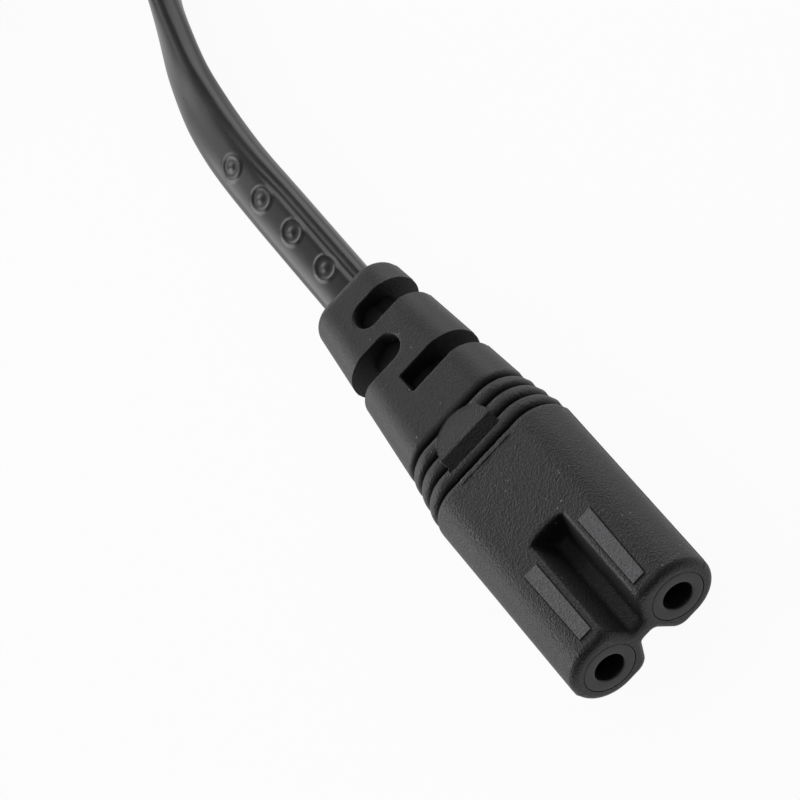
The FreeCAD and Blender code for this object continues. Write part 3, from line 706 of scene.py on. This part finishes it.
def bodyOutline(settings, y):
    # the closed outline at one place, clockwise from the top middle when looking at the mating face
    wide, full = bodySize(settings, y)
    edge, centre = full - ribDip(settings, y), wide - full
    groove = grooveHalf(settings, y)
    depth = float(np.interp(y, *zip(*settings["grooveWall"])))
    spread = smoothStep(y, *settings["evenFrom"])
    even = np.linspace(0, settings["lobeCentre"], len(groove))
    across = (groove[:, 0] * (1 - spread) + even * spread) * centre / settings["lobeCentre"]
    top = edge - (settings["lobeRadius"] - groove[:, 1]) * depth
    bottom = -top.copy()
    pad, strip, thumb, seam = [settings[name] for name in ("pad", "strip", "thumb", "seam")]
    if pad["start"] < y < pad["end"]:
        # three columns lie outside the pad, with the dips round it next to its own
        first, last = -3 - settings["columns"]["pad"], -3
        top[first:last] += pad["step"]
        top[[first - 1, last]] -= pad["dip"]
    if strip["start"] < y < strip["end"]:
        coarse, broad = strip["waves"]
        ragged = strip["least"] + strip["ragged"] * np.sin(coarse * across) * np.sin(broad * across + 1.0)
        top += strip["step"] * ragged * np.clip((thumb["half"] - across) / settings["softEdge"] + 0.5, 0, 1)
    if thumb["front"] <= y < thumb["end"]:
        top = thumbHeight(settings, across, y, top)

    # columns close in on the moulding seam at mid-height
    share = np.linspace(-1, 1, settings["columns"]["arc"] + 1)[1:-1]
    turned = -np.sign(share) * np.abs(share) ** seam["crowding"] * math.pi / 2
    radius = edge + seam["height"] * np.clip(1 - np.abs(turned) * edge / seam["half"], 0, 1)
    arc = np.column_stack([centre + radius * np.cos(turned), radius * np.sin(turned)])
    right = np.vstack([np.column_stack([across, top]), arc, np.column_stack([across, bottom])[::-1]])
    left = right[1:-1][::-1] * (-1, 1)
    return np.vstack([right, left])


def insetOutline(outline, amount):
    ahead = np.roll(outline, -1, axis=0) - np.roll(outline, 1, axis=0)
    ahead /= np.maximum(np.linalg.norm(ahead, axis=1), 1e-9)[:, None]
    return outline + amount * np.column_stack([ahead[:, 1], -ahead[:, 0]])


def endInset(y, length, firstRound, lastRound):
    # how far the outline near a rounded end lies inside the full one
    for apart, radius in ((y, firstRound), (length - y, lastRound)):
        if apart < radius:
            return radius - math.sqrt(max(radius ** 2 - (radius - apart) ** 2, 0.0))
    return 0.0


def endStrips(ring):
    # shuts an outline that starts at its top middle with upright strips, right side then left
    count = len(ring)
    half = count // 2
    strips = []
    for side in (1, -1):
        for place in range((half + 1) // 2):
            corners = [place, place + 1, half - 1 - place, half - place]
            strips.append(tuple(dict.fromkeys(ring[side * corner % count] for corner in corners)))
    return [strip for strip in strips if len(strip) > 2]


def faceOutwards(mesh):
    turned = bmesh.new()
    turned.from_mesh(mesh)
    bmesh.ops.recalc_face_normals(turned, faces=turned.faces)
    turned.to_mesh(mesh)
    turned.free()
    return mesh


def gridMesh(name, places, strips=False):
    # a skin over rows of closed outlines, shut at both ends
    number = numbered(places)
    faces = skinFaces(number)
    for end in (number[0].tolist(), number[-1].tolist()):
        faces += endStrips(end) if strips else [tuple(end)]
    return faceOutwards(newMesh(name, places, faces))


def shadeEdges(mesh, angle):
    # smooth, apart from the edges that turn by more than the angle
    mesh.shade_smooth()
    mesh.set_sharp_from_angle(angle=math.radians(angle))


def toRow(places):
    # from the face's own millimetres to the shared frame
    return (np.asarray(places, float) + bodySettings["faceMiddle"]) * mm


def barMesh(name, outline, low, high):
    # a straight bar along the body over an outline across it
    rows = [[(x, level, z) for x, z in outline] for level in (low, high)]
    return gridMesh(name, toRow(rows))


def slotOutline(settings, reach, side, start, width, rounded):
    # open at one side, square or full round at its inner end
    outside, inner = settings["slotOutside"] * side, reach * side
    middle = start + width / 2
    radius = width / 2 if rounded else settings["slotCorner"]
    points = [(outside, start), (outside, start + width)]
    for sign in (1, -1):
        x, y = inner + side * radius, middle + sign * (width / 2 - radius)
        for angle in quarter(settings["slotSteps"])[::sign]:
            points.append((x - side * radius * math.sin(angle), y + sign * radius * math.cos(angle)))
    return points if side < 0 else points[::-1]


def slotCutter(name, settings, slot):
    # widens to a round lip where it meets the flat top and underside
    outline = np.array(slotOutline(settings, *slot))
    lip = settings["slotRound"]
    start, width = slot[2:4]
    top = bodySize(settings, start + width / 2)[1]
    levels = [(top + settings["slotAbove"], lip), (top, lip)]
    for angle in quarter(settings["lipSteps"])[1:]:
        levels.append((top - lip * (1 - math.cos(angle)), lip * (1 - math.sin(angle))))
    levels += [(-level, grown) for level, grown in levels[::-1]]
    rows = [[(x, y, level) for x, y in insetOutline(outline, -grown)] for level, grown in levels]
    return gridMesh(name, toRow(rows))


def cutAway(piece, cutters):
    for cutter in cutters:
        change = piece.modifiers.new(cutter.name, "BOOLEAN")
        change.operation = "DIFFERENCE"
        change.solver = "MANIFOLD"
        change.object = addObject(cutter.name, cutter)
    bpy.context.view_layer.update()
    done = bpy.data.meshes.new_from_object(piece.evaluated_get(bpy.context.evaluated_depsgraph_get()))
    holders = [change.object for change in piece.modifiers]
    piece.modifiers.clear()
    old = piece.data
    piece.data = done
    done.name = piece.name
    bpy.data.meshes.remove(old)
    for holder in holders:
        bpy.data.objects.remove(holder)


def wallBow(settings, across, y):
    # how far the groove's end wall bows forward where it runs up to the mouth
    bow = settings["wallBow"]
    wall = smoothStep(y, *bow["rise"]) * (1 - smoothStep(y, *bow["fall"]))
    reach = np.minimum(np.abs(across) / settings["grooveMouth"], bow["reach"])
    fall = (bow["reach"] - reach) / (bow["reach"] - 1)
    return np.where(reach < 1, reach ** bow["power"], np.clip(fall, 0, 1)) * bow["depth"] * wall


def makeBody(settings):
    places = []
    for y in bodyRows(settings):
        inset = endInset(y, settings["length"], settings["faceRound"], settings["rearRound"])
        across, height = insetOutline(bodyOutline(settings, y), inset).T
        places.append(np.column_stack([across, y - wallBow(settings, across, y), height]))
    body = addObject("connector_body", gridMesh("connector_body", toRow(places), True))
    cutters = [slotCutter(f"slot{number}", settings, slot) for number, slot in enumerate(settings["slots"])]
    sides, radius = settings["seatSides"], settings["seatRadius"]
    turned = circle(sides) + math.pi / sides
    for side in (-1, 1):
        ring = [(side * settings["lobeCentre"] + radius * math.cos(angle), radius * math.sin(angle))
                for angle in turned]
        cutters.append(barMesh(f"seat{side}", ring, *settings["seatSpan"]))
    cutAway(body, cutters)
    shadeEdges(body.data, settings["sharp"])
    return body


connectorBody = makeBody(bodySettings)
connectorBody.data.materials.clear()
connectorBody.data.materials.append(mouldedPvc("connector PVC", pvcSettings, True))
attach(connectorBody, "root")
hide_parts("connector_overmould")
print("connector body made", len(connectorBody.data.polygons), "faces")


# pre-moulded insert with its two socket holes, in millimetres from the mating face
insertSettings = {
    "centre": 4.3,
    "outer": 2.6,
    "length": 17.5,
    "rim": 0.1,
    "hole": 1.45,
    "holeRim": 0.22,
    "guideEnd": 3.0,
    "seat": (1.75, 14.0),
    "crimpHole": 1.45,
    "bridge": {"start": 13.7, "half": 2.2, "height": 4.4},
    "around": 72,
    "rimSteps": 6,
    "sharp": 40,
}


def snoutProfile(settings):
    # radius and depth round the wall of one snout
    outer, length, hole = settings["outer"], settings["length"], settings["hole"]
    rim, lead, guide = settings["rim"], settings["holeRim"], settings["guideEnd"]
    turned = quarter(settings["rimSteps"])
    face = [(outer - rim + rim * math.cos(angle), rim - rim * math.sin(angle)) for angle in turned]
    mouth = [(hole + lead - lead * math.sin(angle), lead - lead * math.cos(angle)) for angle in turned]
    seat, seatEnd = settings["seat"]
    crimp = settings["crimpHole"]
    inside = [(hole, guide), (seat, guide), (seat, seatEnd), (crimp, seatEnd), (crimp, length)]
    return [(outer, length)] + face + mouth + inside


def loopMesh(name, places):
    # a skin over outlines that run round in a closed loop
    number = numbered(places)
    return newMesh(name, places, skinFaces(np.vstack([number, number[:1]])))


def snoutMesh(settings, centre):
    # the profile turned about an axis along Y
    places = [[(centre + radius * math.cos(angle), depth, radius * math.sin(angle))
               for radius, depth in snoutProfile(settings)] for angle in circle(settings["around"])]
    return loopMesh("snout", toRow(places))


def makeInsert(settings):
    bridge = settings["bridge"]
    half, tall = bridge["half"], bridge["height"] / 2
    shells = [snoutMesh(settings, side * settings["centre"]) for side in (-1, 1)]
    shells.append(barMesh("bridge", [(-half, -tall), (half, -tall), (half, tall), (-half, tall)],
                          bridge["start"], settings["length"]))
    joined = bmesh.new()
    for shell in shells:
        joined.from_mesh(shell)
        bpy.data.meshes.remove(shell)
    mesh = bpy.data.meshes.new("socket_insert")
    joined.to_mesh(mesh)
    joined.free()
    faceOutwards(mesh)
    shadeEdges(mesh, settings["sharp"])
    return addObject("socket_insert", mesh)


socketInsert = makeInsert(insertSettings)
socketInsert.data.materials.append(finishes["socket_insert"])
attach(socketInsert, "root")
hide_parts("contact_carrier")
print("socket insert made", len(socketInsert.data.polygons), "faces")


# plug at the far end, in millimetres from its rear
plugSettings = {
    "rear": (0.014, 0.152, 0.01945),
    "turn": 15.0,
    "length": 42.0,
    # place along, half width and half height
    "keys": [(0.0, 4.4, 2.8), (12.0, 9.0, 5.0), (30.0, 17.65, 6.85), (42.0, 17.65, 6.85)],
    "blendSteps": 421,
    "blendReach": 28,
    "faceRound": 1.5,
    "rearRound": 0.7,
    "reliefRings": {"places": (2.4, 4.6, 6.8, 9.0), "half": 0.42, "depth": 0.55},
    "ridges": {"start": 16.5, "pitch": 2.2, "count": 5, "half": 0.62, "height": 0.4, "reach": 0.72,
               "end": 0.1},
    "rows": {"round": 9, "detailed": 190, "plain": 14, "plainFrom": 30.0},
    "columns": {"flat": 20, "arc": 30},
    "sharp": 50,
}


def plugRows(settings):
    rows, length = settings["rows"], settings["length"]
    face, rear = settings["faceRound"], settings["rearRound"]
    turned = quarter(rows["round"])
    return np.concatenate([
        rear * (1 - np.cos(turned)),
        np.linspace(rear, rows["plainFrom"], rows["detailed"])[1:],
        np.linspace(rows["plainFrom"], length - face, rows["plain"])[1:-1],
        length - face * (1 - np.sin(turned)),
    ])


def plugOutline(settings, y, wide, tall):
    rings, ridges, columns = settings["reliefRings"], settings["ridges"], settings["columns"]
    dip = sum(rings["depth"] * math.exp(-((y - place) / rings["half"]) ** 2) for place in rings["places"])
    centre, edge = wide - tall, tall - dip
    across = np.linspace(0, centre, columns["flat"])
    inside = np.clip((ridges["reach"] - across / centre) / ridges["end"], 0, 1)
    top = np.full(len(across), edge)
    for number in range(ridges["count"]):
        apart = (y - ridges["start"] - number * ridges["pitch"]) / ridges["half"]
        top += ridges["height"] * math.sqrt(max(1 - apart ** 2, 0.0)) * inside
    turned = np.linspace(math.pi / 2, -math.pi / 2, columns["arc"])[1:-1]
    arc = np.column_stack([centre + edge * np.cos(turned), edge * np.sin(turned)])
    flat = np.column_stack([across, top])
    right = np.vstack([flat, arc, flat[::-1] * (1, -1)])
    return np.vstack([right, right[1:-1][::-1] * (-1, 1)])


def inPlug(settings, places):
    # from the plug's own millimetres to the shared frame
    turn = math.radians(settings["turn"])
    cosine, sine = math.cos(turn), math.sin(turn)
    turned = np.array([(cosine, sine, 0), (-sine, cosine, 0), (0, 0, 1)])
    return np.array(places) @ turned * mm + settings["rear"]


def makePlug(settings):
    even = np.linspace(0, settings["length"], settings["blendSteps"])
    along, *sizes = zip(*settings["keys"])
    sizes = [smoothed(np.interp(even, along, size), settings["blendReach"]) for size in sizes]
    places = []
    for y in plugRows(settings):
        outline = plugOutline(settings, y, *[np.interp(y, even, size) for size in sizes])
        inset = endInset(y, settings["length"], settings["rearRound"], settings["faceRound"])
        across, height = insetOutline(outline, inset).T
        places.append(np.column_stack([across, np.full(len(across), y), height]))
    mesh = gridMesh("plug_body", inPlug(settings, places), True)
    shadeEdges(mesh, settings["sharp"])
    return addObject("plug_body", mesh)


plugBody = makePlug(plugSettings)
plugBody.data.materials.append(finishes["moulded_pvc"])
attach(plugBody, "root")
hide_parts("plug_overmould")
print("plug body made", len(plugBody.data.polygons), "faces")


# turned pins, in the plug's own millimetres
pinSettings = {
    "pins": {"plug_left_pin": -9.3, "plug_right_pin": 9.3},
    # radius and place along, from the bottom of the wire's bore out to the straight of the tip
    "profile": [(0.55, 37.0), (0.55, 33.0), (2.2, 33.0), (2.4, 33.2), (2.4, 42.0), (1.3, 42.0), (1.3, 52.0),
                (1.75, 52.0), (1.93, 52.07), (2.0, 52.25), (2.0, 59.0)],
    "tip": {"degrees": 85, "steps": 14},
    "around": 64,
    "sharp": 40,
}


def makePin(name, settings):
    radius, straight = settings["profile"][-1]
    bow = np.radians(np.linspace(0, settings["tip"]["degrees"], settings["tip"]["steps"])[1:])
    tip = [(radius * math.cos(angle), straight + radius * math.sin(angle)) for angle in bow]
    places = [[(settings["pins"][name] + size * math.cos(angle), along, size * math.sin(angle))
               for angle in circle(settings["around"])] for size, along in settings["profile"] + tip]
    mesh = gridMesh(f"{name}_turned", inPlug(plugSettings, places))
    shadeEdges(mesh, settings["sharp"])
    mesh.materials.append(finishes["pin_nickel"])
    pin = addObject(f"{name}_turned", mesh)
    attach(pin, "root")
    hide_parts(name)
    return pin


plugPins = [makePin(name, pinSettings) for name in pinSettings["pins"]]
print("plug pins made", len(plugPins))


# two soft bands that hold the hank
tieSettings = {
    "along": 0.163,
    "ties": {"left_tie": -0.01835, "right_tie": 0.02235},
    "middle": 0.0066,
    "halfAcross": 0.00565,
    "halfHeight": 0.0063,
    "corner": 0.0017,
    "cornerSteps": 12,
    "width": 0.004,
    "thickness": 0.0006,
    "bead": 0.0003,
    "beadSteps": 9,
    # height of the strip between its beads, inside and outside, as shares of theirs
    "innerShare": 0.8,
    "outerShare": 0.6,
    "sharp": 50,
}


def bandPath(settings):
    # points and outward directions round the rounded oblong
    corner = settings["corner"]
    across, height = settings["halfAcross"] - corner, settings["halfHeight"] - corner
    centres = [(across, height), (-across, height), (-across, -height), (across, -height)]
    points, outward = [], []
    for number, centre in enumerate(centres):
        for angle in quarter(settings["cornerSteps"]) + number * math.pi / 2:
            out = (math.cos(angle), math.sin(angle))
            points.append((centre[0] + corner * out[0], centre[1] + corner * out[1]))
            outward.append(out)
    return points, outward


def bandSection(settings):
    # flat strip with a round bead along both edges: place along the cord and height above its middle
    bead, flat = settings["bead"], settings["thickness"] / 2
    edge = settings["width"] / 2 - bead
    strip = edge - 2 * bead
    inner, outer = -flat * settings["innerShare"], flat * settings["outerShare"]
    turned = np.linspace(0, math.pi, settings["beadSteps"])
    right = [(edge + bead * math.sin(angle), flat * math.cos(angle)) for angle in turned]
    left = [(-beside, -above) for beside, above in right]
    return right + [(strip, inner), (-strip, inner)] + left + [(-strip, outer), (strip, outer)]


def makeTie(name, settings):
    section = bandSection(settings)
    centre, along, middle = settings["ties"][name], settings["along"], settings["middle"]
    places = [[(centre + point[0] + out[0] * above, along + beside, middle + point[1] + out[1] * above)
               for beside, above in section] for point, out in zip(*bandPath(settings))]
    mesh = faceOutwards(loopMesh(f"{name}_band", np.array(places)))
    shadeEdges(mesh, settings["sharp"])
    mesh.materials.append(finishes["tie_plastic"])
    band = addObject(f"{name}_band", mesh)
    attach(band, "root")
    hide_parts(name)
    return band


tieBands = [makeTie(name, tieSettings) for name in tieSettings["ties"]]
print("ties made", len(tieBands))


# pale floor and soft studio light
studioSettings = {
    "floorSize": 6.0,
    "floorColour": (0.92, 0.92, 0.92, 1.0),
    "floorGlow": 0.95,
    "floorGloss": 0.76,
    "white": (1.0, 1.0, 1.0, 1.0),
    "worldStrength": 0.1,
    "aim": (0.0, 0.02, 0.0),
    "lampSize": 0.8,
    # place and watts
    "lamps": {
        "leftLamp": ((-0.85, 0.6, 0.42), 6.8),
        "rightLamp": ((0.8, 0.75, 0.42), 4.1),
        "backLamp": ((-0.1, 1.2, 0.35), 4.1),
        "overLamp": ((0.0, 0.1, 1.2), 1.3),
    },
}


def rayKinds(start, names):
    # for each kind of ray, 1 where a ray is of that kind
    rays = start.tree.nodes.new("ShaderNodeLightPath")
    return [Wire(start.tree, rays.outputs[f"Is {name} Ray"]) for name in names]


def mixShaders(start, factor, first, second, end):
    # two shaders mixed into the surface of a cleared tree
    mixed = start.node("ShaderNodeMixShader", None, {0: factor, 1: first, 2: second})
    start.tree.links.new(mixed.socket, start.tree.nodes.new(end).inputs["Surface"])


def makeFloor(settings):
    half = settings["floorSize"] / 2
    corners = np.array([(-half, -half, 0), (half, -half, 0), (half, half, 0), (-half, half, 0)])
    floor = addObject("floor", newMesh("floor", corners, [(0, 1, 2, 3)]))
    finish = bpy.data.materials.new("white paper floor")
    finish.use_nodes = True
    finish.node_tree.nodes.clear()
    start = Wire(finish.node_tree)
    camera, gloss, clear = rayKinds(start, ("Camera", "Glossy", "Transmission"))
    seen = camera * settings["floorGlow"] + (gloss + clear).clamped() * settings["floorGloss"]
    paper = start.node("ShaderNodeBsdfDiffuse", None, {"Color": settings["floorColour"]})
    glow = start.node("ShaderNodeEmission", None, {"Color": settings["white"], "Strength": 1.0})
    mixShaders(start, seen.clamped(), paper, glow, "ShaderNodeOutputMaterial")
    floor.data.materials.append(finish)


def makeWorld(settings):
    world = bpy.data.worlds.new("studio")
    world.use_nodes = True
    scene.world = world
    world.node_tree.nodes.clear()
    start = Wire(world.node_tree)
    camera = rayKinds(start, ["Camera"])[0]
    lights = [start.node("ShaderNodeBackground", None, {"Color": settings["white"], "Strength": strength})
              for strength in (settings["worldStrength"], 1.0)]
    mixShaders(start, camera, *lights, "ShaderNodeOutputWorld")


def makeLamps(settings):
    for name, (place, power) in settings["lamps"].items():
        lamp = addObject(name, bpy.data.lights.new(name, "AREA"))
        lamp.data.energy = power
        lamp.data.size = settings["lampSize"]
        lamp.location = place
        lamp.rotation_euler = (Vector(settings["aim"]) - lamp.location).to_track_quat("-Z", "Y").to_euler()


makeFloor(studioSettings)
makeWorld(studioSettings)
makeLamps(studioSettings)
print("studio set")
